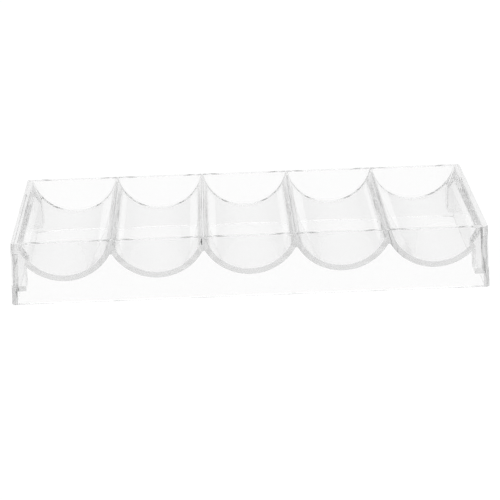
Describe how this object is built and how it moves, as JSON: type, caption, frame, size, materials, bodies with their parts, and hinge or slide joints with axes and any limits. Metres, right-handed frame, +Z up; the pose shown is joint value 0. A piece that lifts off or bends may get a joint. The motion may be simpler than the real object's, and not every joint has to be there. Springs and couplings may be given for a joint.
{
  "type": "chip rack",
  "caption": "Clear plastic chip rack: a shallow tray of half-round channels side by side, each for a row of gaming chips on edge, on an open flared base.",
  "frame": {"origin": "centre of the base, on the surface the rack stands on", "axes": "+X across the channels (the long way), +Y along the channels from front to back, +Z up"},
  "size_m": [0.2128, 0.0856, 0.0284],
  "materials": {
    "clear_acrylic": "clear, polished"
  },
  "bodies": {
    "root": {"front_wall": "clear_acrylic", "back_wall": "clear_acrylic", "left_end_wall": "clear_acrylic", "right_end_wall": "clear_acrylic", "chip_channel_1": "clear_acrylic", "chip_channel_2": "clear_acrylic", "chip_channel_3": "clear_acrylic", "chip_channel_4": "clear_acrylic", "chip_channel_5": "clear_acrylic", "divider_rail_1": "clear_acrylic", "divider_rail_2": "clear_acrylic", "divider_rail_3": "clear_acrylic", "divider_rail_4": "clear_acrylic", "front_left_stacking_post": "clear_acrylic", "front_right_stacking_post": "clear_acrylic", "back_left_stacking_post": "clear_acrylic", "back_right_stacking_post": "clear_acrylic"}
  },
  "joints": []
}
